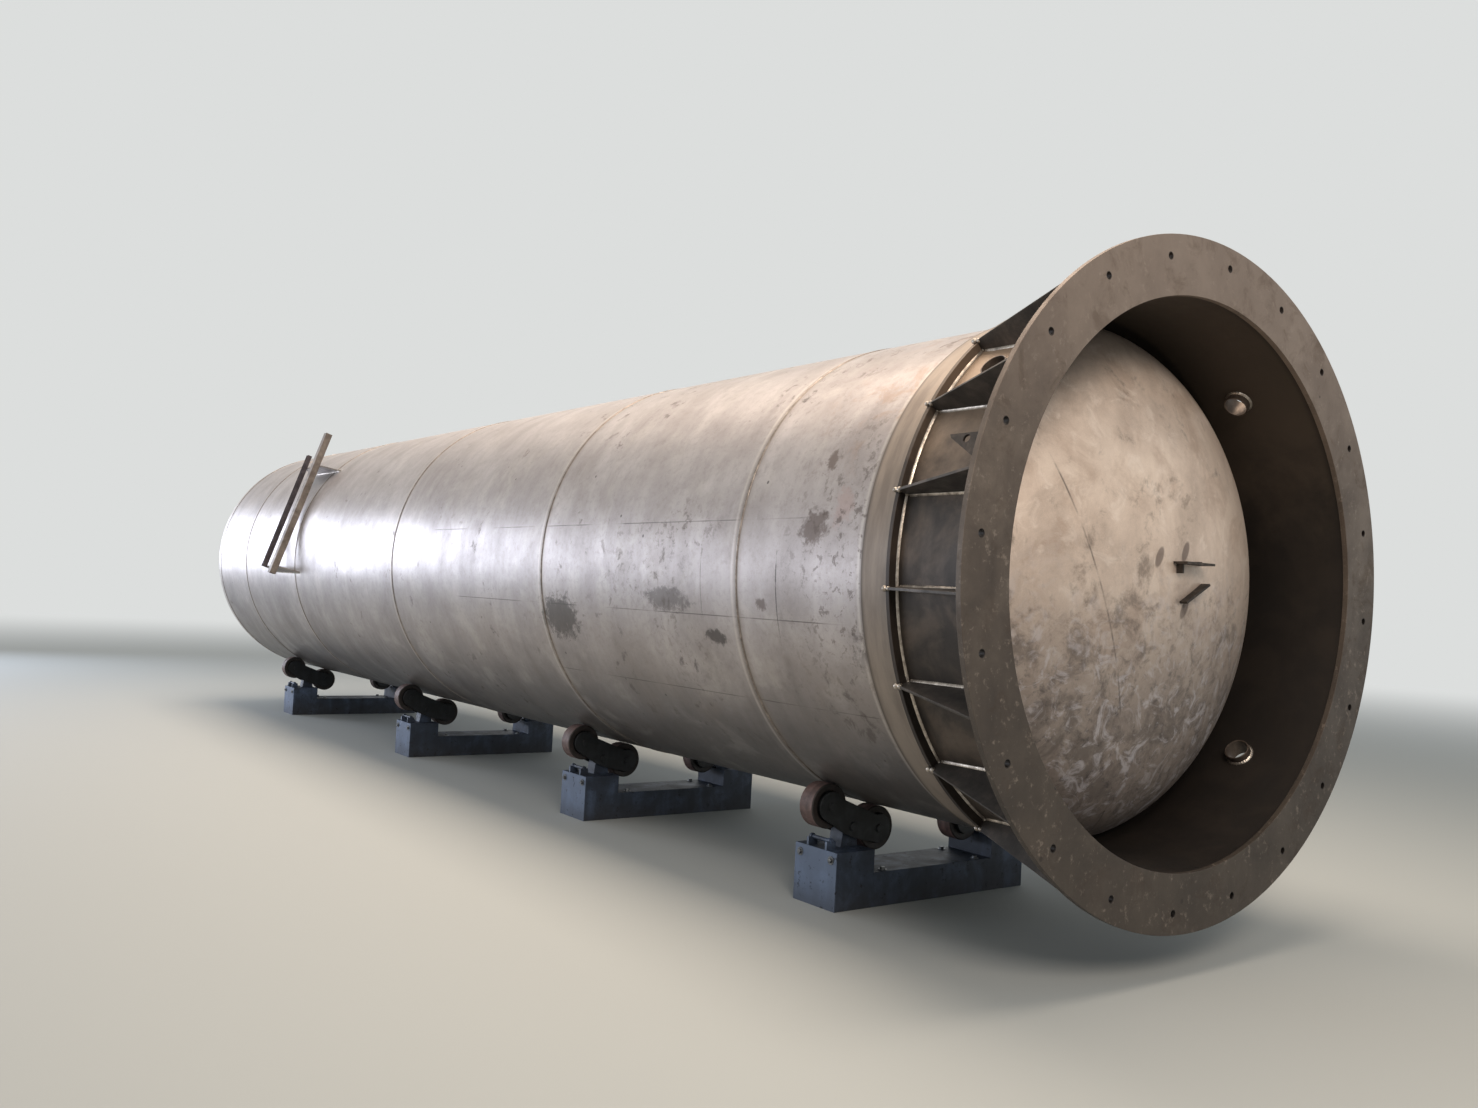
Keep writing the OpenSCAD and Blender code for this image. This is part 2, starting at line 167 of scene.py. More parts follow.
def hex_linear(code):
    """Linear red, green, blue and alpha of an sRGB hex colour."""
    c = np.array([int(code[i:i + 2], 16) for i in (1, 3, 5)]) / 255
    lin = np.where(c <= 0.04045, c / 12.92, ((c + 0.055) / 1.055) ** 2.4)
    return (*lin.tolist(), 1.0)


def add(tree, kind, settings=None, links=None):
    """Adds one node, sets its properties or socket values, and links its sockets."""
    node = tree.nodes.new(kind)
    for key, value in (settings or {}).items():
        if isinstance(key, str) and hasattr(node, key):
            setattr(node, key, value)
        else:
            node.inputs[key].default_value = value
    for key, (source, out) in (links or {}).items():
        tree.links.new(source.outputs[out], node.inputs[key])
    return node


def grid_mesh(name, points, wrap_u=False, wrap_v=False, smooth_angle=38):
    """Mesh of quads over a grid of points, u by v, optionally closed round either way."""
    nu, nv = points.shape[:2]
    iu = np.arange(nu if wrap_u else nu - 1)
    iv = np.arange(nv if wrap_v else nv - 1)
    a, b = np.meshgrid(iu, iv, indexing="ij")
    c, d = (a + 1) % nu, (b + 1) % nv
    quads = np.stack([a * nv + b, c * nv + b, c * nv + d, a * nv + d], -1).reshape(-1, 4)
    mesh = bpy.data.meshes.new(name)
    mesh.vertices.add(nu * nv)
    mesh.vertices.foreach_set("co", points.reshape(-1).astype(np.float32))
    mesh.loops.add(quads.size)
    mesh.loops.foreach_set("vertex_index", quads.reshape(-1).astype(np.int32))
    mesh.polygons.add(len(quads))
    mesh.polygons.foreach_set("loop_start", np.arange(0, quads.size, 4, dtype=np.int32))
    mesh.update(calc_edges=True)
    tidy_mesh(mesh, smooth_angle)
    return mesh


def tidy_mesh(mesh, smooth_angle=38, merge=1e-6, dissolve=0.0):
    """Merges doubles, turns the faces outwards and marks the sharp edges."""
    bm = bmesh.new()
    bm.from_mesh(mesh)
    bmesh.ops.remove_doubles(bm, verts=bm.verts, dist=merge)
    bmesh.ops.dissolve_degenerate(bm, edges=bm.edges, dist=merge)
    if dissolve:
        bmesh.ops.dissolve_limit(bm, angle_limit=math.radians(dissolve), verts=bm.verts,
                                 edges=bm.edges)
    bmesh.ops.recalc_face_normals(bm, faces=bm.faces)
    bm.to_mesh(mesh)
    bm.free()
    mesh.polygons.foreach_set("use_smooth", np.ones(len(mesh.polygons), dtype=bool))
    mesh.set_sharp_from_angle(angle=math.radians(smooth_angle))
    mesh.update()


def piece(mesh, body, finish, nodes=()):
    """Puts a mesh in the scene as a piece on a body, in place of the CAD nodes named."""
    obj = bpy.data.objects.new(mesh.name, mesh)
    bpy.context.scene.collection.objects.link(obj)
    mesh.materials.append(FINISHES[finish])
    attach(obj, body)
    if nodes:
        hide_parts(*nodes)
    return obj


def around(x, r, theta):
    """Points at a place along the axis, a radius and an angle from +Y towards +Z."""
    x, r, theta = np.broadcast_arrays(x, r, theta)
    return np.stack([x, r * np.cos(theta), AXIS_Z + r * np.sin(theta)], -1)


def turn(count):
    """Angles evenly round a full turn."""
    return np.linspace(0, 2 * math.pi, count, endpoint=False)


def spoke(angle):
    """Unit vectors outwards and sideways at an angle round the axis."""
    return (np.array([0, math.cos(angle), math.sin(angle)]),
            np.array([0, -math.sin(angle), math.cos(angle)]))


def soft_noise(a, b, seed, waves=9):
    """Sum of a few sines with seeded directions and phases, in -1 to 1, over two grids."""
    rng = np.random.default_rng(seed)
    total = np.zeros(np.broadcast(a, b).shape)
    for _ in range(waves):
        ka, kb, ph = rng.normal(), rng.normal(), rng.uniform(0, 2 * math.pi)
        total = total + np.sin(ka * a + kb * b + ph)
    return total / waves


def dressed(node, body, finish, bevel):
    """Copy of a CAD node with merged faces, softened edges and a finish, in its place."""
    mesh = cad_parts[node].data.copy()
    mesh.name = node + "_finished"
    mesh.materials.clear()
    tidy_mesh(mesh, CAD_SMOOTH, CAD_MERGE, CAD_DISSOLVE)
    obj = piece(mesh, body, finish, (node,))
    mod = obj.modifiers.new("edge", "BEVEL")
    mod.width = bevel
    mod.segments = 2
    mod.limit_method = "ANGLE"
    mod.angle_limit = EDGE_ANGLE
    mod.harden_normals = True
    mod.use_clamp_overlap = True
    return obj


def capped(rows):
    """Closes a swept section by drawing each of its ends to their middles."""
    count = rows.shape[1]
    first = rows[:1].mean(1, keepdims=True).repeat(count, 1)
    last = rows[-1:].mean(1, keepdims=True).repeat(count, 1)
    return np.concatenate([first, rows, last])


def bead(name, paths, size, seed, ripple=0.012, wrap=False):
    """Fillet bead: along each path a five-sided section between two leg directions, its
    size varied by seeded noise and by ripples as a welder leaves them. Each path is a
    triple of arrays: points, first leg and second leg directions."""
    rng = np.random.default_rng(seed)
    rings = []
    for points, leg_a, leg_b in paths:
        leg_a, leg_b = (np.broadcast_to(leg, points.shape) for leg in (leg_a, leg_b))
        s = np.concatenate([[0], np.cumsum(np.linalg.norm(np.diff(points, axis=0), axis=1))])
        k = size * (1 + RIPPLE_SHARE * np.sin(2 * math.pi * s / ripple)
                    + DRIFT_SHARE * soft_noise(s * 40, s * 17, int(rng.integers(1e6))))
        k = k[:, None]
        mid = (leg_a + leg_b) / np.linalg.norm(leg_a + leg_b, axis=1, keepdims=True)
        ring = np.stack([points - ROOT * mid * size, points + leg_a * k,
                         points + (FACE_FAR * leg_a + FACE_NEAR * leg_b) * k,
                         points + (FACE_NEAR * leg_a + FACE_FAR * leg_b) * k,
                         points + leg_b * k], 1)
        rings.append(ring if wrap else capped(ring))
    return piece(join_grids(name, rings, wrap, True), "vessel", "bead")


def join_grids(name, grids, wrap_u, wrap_v, smooth_angle=70):
    """One mesh from several grids of points."""
    bm = bmesh.new()
    for g in grids:
        part = grid_mesh(name + "_part", g, wrap_u, wrap_v, smooth_angle)
        bm.from_mesh(part)
        bpy.data.meshes.remove(part)
    mesh = bpy.data.meshes.new(name)
    bm.to_mesh(mesh)
    bm.free()
    mesh.polygons.foreach_set("use_smooth", np.ones(len(mesh.polygons), dtype=bool))
    mesh.set_sharp_from_angle(angle=math.radians(smooth_angle))
    return mesh


# Finishes


def empty_tree(owner):
    """Node tree of a material or a world, without its first nodes."""
    owner.use_nodes = True
    owner.node_tree.nodes.clear()
    return owner.node_tree


def calc(tree, operation, *values, clamp=False):
    """One step of arithmetic on numbers and node outputs."""
    settings, links = {"operation": operation, "use_clamp": clamp}, {}
    for k, value in enumerate(values):
        (links if isinstance(value, tuple) else settings)[k] = value
    return (add(tree, "ShaderNodeMath", settings, links), 0)


def times(tree, *values):
    """Product of two or three values."""
    both = calc(tree, "MULTIPLY", *values[:2])
    return times(tree, both, values[2]) if values[2:] else both


def step(tree, value, low, high):
    """Smooth step of a value from 0 at one limit to 1 at the other."""
    return (add(tree, "ShaderNodeMapRange", {"From Min": low, "From Max": high,
                                             "interpolation_type": "SMOOTHSTEP"}, {0: value}), 0)


def line_mask(tree, value, centre, half_width):
    """1 at a value's centre, falling to 0 at half the width away on either side."""
    gap = calc(tree, "ABSOLUTE", calc(tree, "SUBTRACT", value, centre))
    return (add(tree, "ShaderNodeMapRange",
                {"From Min": 0.0, "From Max": half_width, "To Min": 1.0, "To Max": 0.0,
                 "interpolation_type": "SMOOTHSTEP"}, {0: gap}), 0)


def between(tree, value, low, high, soft):
    """1 where a value lies between two limits, falling to 0 over a soft edge."""
    return times(tree, step(tree, value, low - soft, low), step(tree, value, high + soft, high))


def noise(tree, vector, size, detail=5.0, rough=0.6, warp=0.0):
    """Noise with lumps of a size in metres."""
    return (add(tree, "ShaderNodeTexNoise", {"Scale": 1 / size, "Detail": detail,
                                             "Roughness": rough, "Distortion": warp},
                {"Vector": vector}), 0)


def patches(tree, vector, size, low, high, detail=5.0, rough=0.6, warp=0.0):
    """Patches of a size in metres, 1 where the noise is past one limit, 0 at the other."""
    return step(tree, noise(tree, vector, size, detail, rough, warp), low, high)


def specks(tree, vector, cells, outer, inner):
    """Round specks, one in each of so many cells to the metre, with their outer and inner
    edge as shares of a cell."""
    speck = add(tree, "ShaderNodeTexVoronoi", {"Scale": cells, "Randomness": 1.0}, {0: vector})
    return step(tree, (speck, "Distance"), outer, inner)


def length(tree, vector):
    """Length of a vector."""
    return (add(tree, "ShaderNodeVectorMath", {"operation": "LENGTH"}, {0: vector}), "Value")


def ellipse(tree, vector, place, halves, lean=0.0):
    """Distance from an ellipse's middle as a share of the way to its edge."""
    spot = add(tree, "ShaderNodeMapping", {"vector_type": "TEXTURE", "Location": place,
                                           "Rotation": (lean, 0, 0), "Scale": halves},
               {0: vector})
    return length(tree, (spot, 0))


def polar(tree, here):
    """X along the axis, the arc from the near side's middle, the radius, the height above
    the axis and the reach towards the near side."""
    split = add(tree, "ShaderNodeSeparateXYZ", {}, {0: here})
    level = calc(tree, "SUBTRACT", (split, 2), AXIS_Z)
    near = times(tree, (split, 1), -1.0)
    arc = times(tree, calc(tree, "ARCTAN2", level, near), SHELL_R)
    flat = add(tree, "ShaderNodeCombineXYZ", {0: 0.0}, {1: near, 2: level})
    return (split, 0), arc, length(tree, (flat, 0)), level, near


def shell_marks(tree, here):
    """Layout lines along the shell, dull bands at the seams, oil stains and soft clouds."""
    along, arc, _, level, _ = polar(tree, here)
    sag = calc(tree, "MULTIPLY_ADD", noise(tree, here, 0.6, 6.0, 0.65), 0.5, level)
    layers = [
        # Painted shade towards the belly, with an uneven edge
        (step(tree, sag, 0.10, -0.85), "#3e3c39", 0.78),
        # Clouds of handling dirt and paler ones, 0.3 to 0.6 m wide
        (patches(tree, here, 0.42, 0.46, 0.66, 7.0, 0.62, 0.3), "#857c76", 0.34),
        (patches(tree, here, 0.31, 0.52, 0.70, 6.0, 0.6, 0.5), "#cfc9c2", 0.20),
        # Burnt edge where the skirt laps the shell
        (step(tree, along, SKIRT_END - 0.035, SKIRT_END - 0.004), "#453c36", 0.7)]
    # Pale bands on the shell along the brackets' feet
    for side in (-1, 1):
        foot = BAR_ANGLE + side * math.asin(BRACKET_AT / SHELL_R)
        pad = times(tree, between(tree, along, BRACKET_LO[0], BRACKET_HI[0], 0.05),
                    line_mask(tree, arc, (math.pi - foot) * SHELL_R, 0.060))
        layers.append((pad, "#d9d4cf", 0.6))
    # Layout lines scribed along the shell, worn away in places
    worn = patches(tree, here, 0.5, 0.38, 0.56, 3.0)
    for degrees, low, high in SCRIBES:
        thin = line_mask(tree, arc, math.radians(degrees) * SHELL_R, 0.0042)
        part = times(tree, thin, worn, between(tree, along, low, high, 0.1))
        layers.append((part, "#3f3a38", 0.8))
    # Dull band beside a girth seam, a darker line where its bead was ground and a pale flank
    moved = calc(tree, "MULTIPLY_ADD", noise(tree, here, 0.06, 4.0, 0.7), 0.03, along)
    for seam in SEAMS[:-1] + [NEAR_TANGENT]:
        layers += [(line_mask(tree, moved, seam + 0.015, 0.055), "#857a71", 0.5),
                   (line_mask(tree, along, seam, 0.020), "#4d4641", 0.6),
                   (line_mask(tree, along, seam - 0.034, 0.016), "#d2cbc3", 0.35)]
    # Marks seen on the near side, each an ellipse with a ragged edge
    flat = (add(tree, "ShaderNodeCombineXYZ", {2: 0.0}, {0: along, 1: arc}), 0)
    ragged = noise(tree, flat, 0.06, 8.0, 0.78, 0.4)
    for x, v, half_x, half_v, code, most in SHELL_MARKS:
        far = ellipse(tree, flat, (x, v, 0), (half_x, half_v, 1))
        edge = calc(tree, "MULTIPLY_ADD", ragged, 2.6, far)
        layers.append((step(tree, edge, 2.35, 1.85), code, most))
    # Oil and pickling stains in groups about a metre apart, more of them next to the skirt
    near = add(tree, "ShaderNodeMapRange", {"From Min": -1.0, "From Max": 4.6}, {0: along})
    gate = calc(tree, "MULTIPLY_ADD", (near, 0), 0.05,
                noise(tree, here, 0.115, 8.0, 0.68, 0.35))
    group = patches(tree, here, 0.8, 0.46, 0.60, 3.0, 0.5)
    spot = times(tree, step(tree, gate, 0.60, 0.72), group)
    lapped = step(tree, along, SKIRT_END - 0.75, SKIRT_END - 0.15)
    seen = times(tree, step(tree, along, 2.2, 4.6), line_mask(tree, arc, 0.05, 1.1))
    drops = times(tree, patches(tree, here, 0.05, 0.54, 0.63, 6.0, 0.7, 0.3), seen,
                  calc(tree, "MAXIMUM", group, lapped))
    bloom = times(tree, patches(tree, here, 0.14, 0.50, 0.66, 8.0, 0.72, 0.5),
                  step(tree, level, 0.15, 0.85), lapped)
    layers += [
        (spot, "#4f4641", 0.6),
        # Fine mottling all over, and drops on the near side towards the skirt
        (patches(tree, here, 0.035, 0.47, 0.68, 7.0, 0.75), "#716863", 0.26),
        (drops, "#51453e", 0.7),
        # Thin brown bloom on the upper side next to the lap
        (bloom, "#94755c", 0.42),
        # Small dark specks of spatter, about 15 mm across
        (specks(tree, here, 4.5, 0.045, 0.030), "#3d3837", 0.75)]
    return layers, spot


def head_marks(tree, here):
    """Cloudy pickled mottling, darker low down, painted shadow round the rim, a weld line across
    and rubbed ovals.
    """
    _, _, radius, level, near = polar(tree, here)
    low = step(tree, level, 0.30, -0.65)
    cloud = noise(tree, here, 0.15, 9.0, 0.68, 0.35)
    dark = step(tree, calc(tree, "MULTIPLY_ADD", low, 0.14, cloud), 0.55, 0.74)
    off = calc(tree, "MULTIPLY_ADD", level, HEAD_SEAM_Z, times(tree, near, HEAD_SEAM_Y))
    seam = times(tree, line_mask(tree, off, HEAD_SEAM_OFF, 0.007),
                 patches(tree, here, 0.12, 0.36, 0.60, 4.0))
    layers = [
        # Heat and handling leave soft brown patches high up, with paler rubbed ones
        (patches(tree, here, 0.22, 0.48, 0.68, 8.0, 0.66, 0.6), "#a58c7a", 0.42),
        (patches(tree, here, 0.13, 0.52, 0.68, 8.0, 0.70, 0.8), "#efe2d6", 0.40),
        # Greyer towards the bottom, with dark and pale mottling
        (low, "#5b595c", 0.66), (dark, "#57514d", 0.62),
        (times(tree, patches(tree, here, 0.045, 0.50, 0.70, 8.0, 0.7, 0.4), low), "#3f3c3e", 0.7),
        (times(tree, patches(tree, here, 0.11, 0.49, 0.66, 9.0, 0.68, 1.3), low), "#c9c6cc", 0.62),
        # Painted shadow of the ring on the rim of the dish
        (step(tree, radius, 0.92, 1.17), "#6a605a", 0.5),
        # Ground weld across the head
        (seam, "#4c4542", 0.75)]
    # Rubbed ovals, leaning
    for y, z in HEAD_OVALS:
        far = ellipse(tree, here, (0, y, AXIS_Z + z), OVAL_HALVES, OVAL_LEAN)
        layers.append((step(tree, far, 1.15, 0.8), "#5d4f49", 0.7))
    return layers, dark


def skirt_marks(tree, here):
    """Bare plate behind the compression ring, burnt bays between the gussets, painted light on the
    upper bays and painted shade on the inner wall."""
    along, _, radius, level, _ = polar(tree, here)
    # Height with noise, for the painted light on the upper bays
    brushed = calc(tree, "MULTIPLY_ADD", noise(tree, here, 0.16, 6.0, 0.65), 0.8, level)
    bare = step(tree, along, COMP_LO[0] + 0.004, COMP_LO[0] - 0.004)
    wipe = add(tree, "ShaderNodeMapping", {"Scale": (10, 1.8, 1.8)}, {0: here})
    wiped = times(tree, bare, patches(tree, (wipe, 0), 1.0, 0.42, 0.66, 5.0, 0.65))
    layers = [
        (patches(tree, here, 0.22, 0.44, 0.66, 6.0, 0.6, 0.4), "#7c6c5e", 0.32),
        # Painted light on the upper bays, paler towards the top with a noisy edge
        (step(tree, brushed, 0.55, 1.25), "#a8937f", 0.8),
        # Bare band behind the compression ring, wiped round
        (bare, "#94887c", 0.75), (wiped, "#5d524a", 0.5)]
    # Burnt lines at the welds
    for x, wide in ((COMP_LO[0], 0.030), (SKIRT_END, 0.022), (COMP_HI[0], 0.030),
                    (RING_BACK, 0.035)):
        layers.append((line_mask(tree, along, x, wide), "#2b2522", 0.6))
    # Painted shade on the inner wall
    layers.append((step(tree, radius, SKIRT_R - 0.005, SKIRT_R - 0.008), "#1c1917", 0.85))
    return layers, None


def ring_marks(tree, here):
    """Painted light high up and painted shade low down, scale worn in patches, small burnt spots,
    smears of grease and painted shade in the anchor holes.
    """
    _, arc, radius, level, _ = polar(tree, here)
    smear = patches(tree, here, 0.14, 0.50, 0.68, 8.0, 0.7, 0.5)
    # Anchor holes: the arc folded to one pitch of the bolt circle, with a bolt at the middle
    # of each fold, and the radius
    pitch = math.radians(PITCH_DEG)
    phase = 0.5 - (180 - BOLT_START_DEG) / PITCH_DEG
    fold = calc(tree, "FRACT", calc(tree, "MULTIPLY_ADD", arc, 1 / (SHELL_R * pitch), phase))
    side = calc(tree, "MULTIPLY_ADD", fold, BOLT_R * pitch, -BOLT_R * pitch / 2)
    up = calc(tree, "SUBTRACT", radius, BOLT_R)
    flat = add(tree, "ShaderNodeCombineXYZ", {2: 0.0}, {0: side, 1: up})
    # Painted shade in the anchor holes and round their edges
    hole = step(tree, length(tree, (flat, 0)), BOLT_HOLE_R + 0.004, BOLT_HOLE_R + 0.001)
    # Painted shade low down and painted light high up, then smears, rubbed patches, specks and
    # painted shade in the holes
    return [(step(tree, level, 1.0, -0.9), "#35312d", 0.68),
            (step(tree, level, 0.3, 1.35), "#9c8c80", 0.45),
            (smear, "#4d443e", 0.32),
            (patches(tree, here, 0.035, 0.55, 0.72, 7.0, 0.7), "#9b8f84", 0.45),
            (specks(tree, here, 5.0, 0.055, 0.040), "#2c2725", 0.7),
            (hole, "#15110f", 0.92)], smear


def base_marks(tree, here):
    """Painted light on the end plates, painted shade towards the floor and chips to dark primer.
    """
    split = add(tree, "ShaderNodeSeparateXYZ", {}, {0: here})
    out = calc(tree, "ABSOLUTE", (split, 1))
    chip = patches(tree, here, 0.045, 0.60, 0.64, 6.0, 0.75)
    # Painted light on the end plates, painted shade towards the floor, then chips
    return [(step(tree, out, BASE_HALF - 0.006, BASE_HALF - 0.002), "#70829e", 0.45),
            (step(tree, (split, 2), 0.16, 0.0), "#262320", 0.5),
            (chip, "#1c1c1e", 0.8)], chip


def steel(name, tones, metallic, rough, grain, blotch, streak, bump, run="down", marks=None):
    """Surface as the mill and the shop leave it: three tones mixed by broad blotches, fine
    grain and drawn streaks, with roughness following the tone. Grain, blotch and streak are
    sizes in metres, rough is the lowest and highest roughness, and bump is the depth of
    blotches and grain. Run says which way the streaks go, and marks gives a piece's own layers,
    each a mask, a colour and its greatest share, and the mask that also makes it rougher."""
    material = bpy.data.materials.new(name)
    tree = empty_tree(material)
    here = (add(tree, "ShaderNodeTexCoord"), "Object")
    broad = noise(tree, here, blotch, 6.0, 0.62, 0.4)
    # Streaks run round the vessel, along a bar or down a plate
    stretch = {"round": (1 / streak, 0.6, 0.6), "along": (0.6, 1 / streak, 1 / streak),
               "down": (1 / streak, 1 / streak, 0.6)}[run]
    drawn = add(tree, "ShaderNodeMapping", {"Scale": stretch}, {"Vector": here})
    lines = noise(tree, (drawn, "Vector"), 1.0)
    fine = noise(tree, here, grain, 4.0, 0.7)
    pattern = times(tree, broad, BLOTCH_SHARE)
    pattern = calc(tree, "MULTIPLY_ADD", lines, STREAK_SHARE, pattern)
    pattern = calc(tree, "MULTIPLY_ADD", fine, GRAIN_SHARE, pattern)
    ramp = add(tree, "ShaderNodeValToRGB", {}, {0: pattern})
    stops = ramp.color_ramp.elements
    stops.new(TONE_STOPS[1])
    for stop, position, code in zip(stops, TONE_STOPS, tones):
        stop.position, stop.color = position, hex_linear(code)
    colour = (ramp, "Color")
    layers, shade = marks(tree, here) if marks else ((), None)
    for mask, code, most in layers:
        share = calc(tree, "MULTIPLY", mask, most, clamp=True)
        colour = (add(tree, "ShaderNodeMix", {"data_type": "RGBA", 7: hex_linear(code)},
                      {0: share, 6: colour}), 2)
    # Darker tones are rougher, and so are a piece's own marks
    spread = (add(tree, "ShaderNodeMapRange", {"From Min": 0.35, "From Max": 0.65,
                                               "To Min": rough[1], "To Max": rough[0]},
                  {0: pattern}), 0)
    if shade:
        spread = calc(tree, "MULTIPLY_ADD", shade, 0.25, spread, clamp=True)
    low = add(tree, "ShaderNodeBump", {"Strength": 0.5, "Distance": bump[0]},
              {"Height": broad})
    high = add(tree, "ShaderNodeBump", {"Strength": 0.6, "Distance": bump[1]},
               {"Height": fine, "Normal": (low, 0)})
    shader = add(tree, "ShaderNodeBsdfPrincipled", {"Metallic": metallic},
                 {"Base Color": colour, "Roughness": spread, "Normal": (high, 0)})
    add(tree, "ShaderNodeOutputMaterial", {}, {"Surface": (shader, 0)})
    return material


FINISHES = {}


def make_finishes():
    """Makes every finish once."""
    table = {
        # Pickled stainless: satin grey, soft cloudy reflections
        "shell": ("pickled_stainless_plate", ("#908987", "#a49d9b", "#b8b1af"), 0.62, (0.35, 0.46),
                  0.004, 0.45, 0.15, (0.004, 0.0004), "round", shell_marks),
        # The same, with painted light: paler and warmer than the shell, mottled low down
        "head": ("pickled_dished_head", ("#b5a598", "#d2c0b1", "#e6d5c5"), 0.36, (0.38, 0.55),
                 0.005, 0.32, 0.20, (0.003, 0.0004), "down", head_marks),
        # The same, cleaner: an even grey
        "far_head": ("pickled_far_head", ("#8f8984", "#aca5a0", "#c4bdb7"), 0.62, (0.34, 0.50),
                     0.005, 0.40, 0.20, (0.003, 0.0004)),
        # Mill scale: brown-black with a dull sheen
        "skirt": ("mill_scale_plate", ("#292421", "#3b342f", "#554b43"), 0.35, (0.42, 0.58),
                  0.003, 0.30, 0.12, (0.002, 0.0004), "round", skirt_marks),
        # Unbroken scale: darker and even
        "gusset": ("mill_scale_gusset", ("#2c2826", "#403b37", "#5a524c"), 0.35, (0.42, 0.58),
                   0.003, 0.12, 0.06, (0.001, 0.0004)),
        # Flame-cut plate: brown-grey, worn in patches
        "ring": ("flame_cut_ring_plate", ("#4d443e", "#61564d", "#74685d"), 0.35, (0.42, 0.58),
                 0.003, 0.20, 0.20, (0.002, 0.0004), "down", ring_marks),
        # Drawn pipe: brown, finely streaked
        "sleeve": ("seamless_pipe", ("#3d3530", "#5a4f47", "#786c61"), 0.5, (0.36, 0.5),
                   0.003, 0.08, 0.03, (0.001, 0.0003)),
        # Flat bar blackened by welding heat, and nearly black as painted shade on the skirt lug
        "cleat": ("burnt_and_shaded_flat_bar", ("#1f1b19", "#342e2a", "#5a5049"), 0.4, (0.45, 0.6),
                  0.002, 0.07, 0.03, (0.001, 0.0003)),
        # Box section from outdoors: matt, pinkish brown
        "bar": ("weathered_box_section", ("#5d5550", "#766d67", "#8d857d"), 0.25, (0.5, 0.65),
                0.003, 0.10, 0.04, (0.001, 0.0004), "along"),
        # Rolled channel: nearly black, oily
        "channel": ("dark_rolled_channel", ("#2e2a2d", "#464045", "#635b5e"), 0.3, (0.46, 0.6),
                    0.003, 0.10, 0.04, (0.001, 0.0004), "along"),
        # Offcuts of the shell plate, dulled
        "bracket": ("cut_stainless_plate", ("#5d5650", "#7d756e", "#a39b93"), 0.6, (0.34, 0.48),
                    0.003, 0.12, 0.04, (0.001, 0.0003), "round"),
        # Fresh weld metal: bright ripples
        "bead": ("bright_weld_metal", ("#6d665f", "#a39a90", "#d6cdc2"), 0.85, (0.26, 0.42),
                 0.004, 0.03, 0.02, (0.001, 0.0008), "round"),
        # Brushed weld metal: straw to grey
        "girth": ("brushed_girth_bead", ("#5a524d", "#7c736c", "#a2988f"), 0.7, (0.34, 0.48),
                  0.004, 0.05, 0.02, (0.001, 0.0006), "round"),
        # Chipped machine enamel: dark blue
        "base": ("worn_machine_enamel", ("#1e2531", "#2d3747", "#4e5e78"), 0.05, (0.42, 0.6),
                 0.004, 0.16, 0.10, (0.001, 0.0003), "down", base_marks),
        # Cast side frames: black with oil
        "rocker": ("oily_cast_frame", ("#0f1113", "#181b1e", "#272b30"), 0.2, (0.38, 0.55),
                   0.003, 0.08, 0.05, (0.001, 0.0004)),
        # Painted iron: dark grey
        "rim": ("painted_wheel_rim", ("#17191b", "#232628", "#353a3c"), 0.25, (0.4, 0.56),
                0.003, 0.05, 0.05, (0.0005, 0.0003)),
        # Flank of the tyre: black with dirt
        "tyre": ("dirty_tyre_flank", ("#151313", "#231e1d", "#362d2b"), 0.0, (0.5, 0.7),
                 0.003, 0.05, 0.02, (0.0005, 0.0004), "round"),
        # Polyurethane tread scuffed brown
        "tread": ("scuffed_polyurethane_tread", ("#382c29", "#55413c", "#735a54"), 0.0, (0.5, 0.7),
                  0.003, 0.05, 0.02, (0.0005, 0.0004), "round"),
        # Zinc plate: bluish grey
        "bolt": ("zinc_hex_bolt", ("#4b4d50", "#6d7073", "#8f9497"), 0.85, (0.3, 0.42),
                 0.002, 0.03, 0.03, (0.0002, 0.0002)),
    }
    for key, values in table.items():
        FINISHES[key] = steel(*values)


# Panel settings


class TankSizes(bpy.types.PropertyGroup):
    """Sizes of the detail that the finish adds."""

    bead_size: bpy.props.FloatProperty(
        name="Fillet size", description="Leg of the fillet welds at gussets and rings",
        default=0.008, min=0.004, max=0.014, subtype="DISTANCE", unit="LENGTH")
    girth_width: bpy.props.FloatProperty(
        name="Girth bead width", description="Width of the beads round the shell",
        default=0.016, min=0.008, max=0.03, subtype="DISTANCE", unit="LENGTH")
    plate_wave: bpy.props.FloatProperty(
        name="Plate wave", description="How far the rolled plates waver from a true round",
        default=0.0022, min=0.0, max=0.006, subtype="DISTANCE", unit="LENGTH")
    edge_round: bpy.props.FloatProperty(
        name="Edge rounding", description="Softening of cut plate edges",
        default=0.0018, min=0.0, max=0.004, subtype="DISTANCE", unit="LENGTH")


class TankColours(bpy.types.PropertyGroup):
    """Colours of the stage."""

    floor: bpy.props.FloatVectorProperty(
        name="Floor", description="Colour of the plain floor", subtype="COLOR", size=3,
        default=hex_linear("#b0b5b4")[:3], min=0, max=1)
    backdrop: bpy.props.FloatVectorProperty(
        name="Backdrop", description="Colour of the plain backdrop", subtype="COLOR", size=3,
        default=hex_linear("#dcdedd")[:3], min=0, max=1)


# Pieces


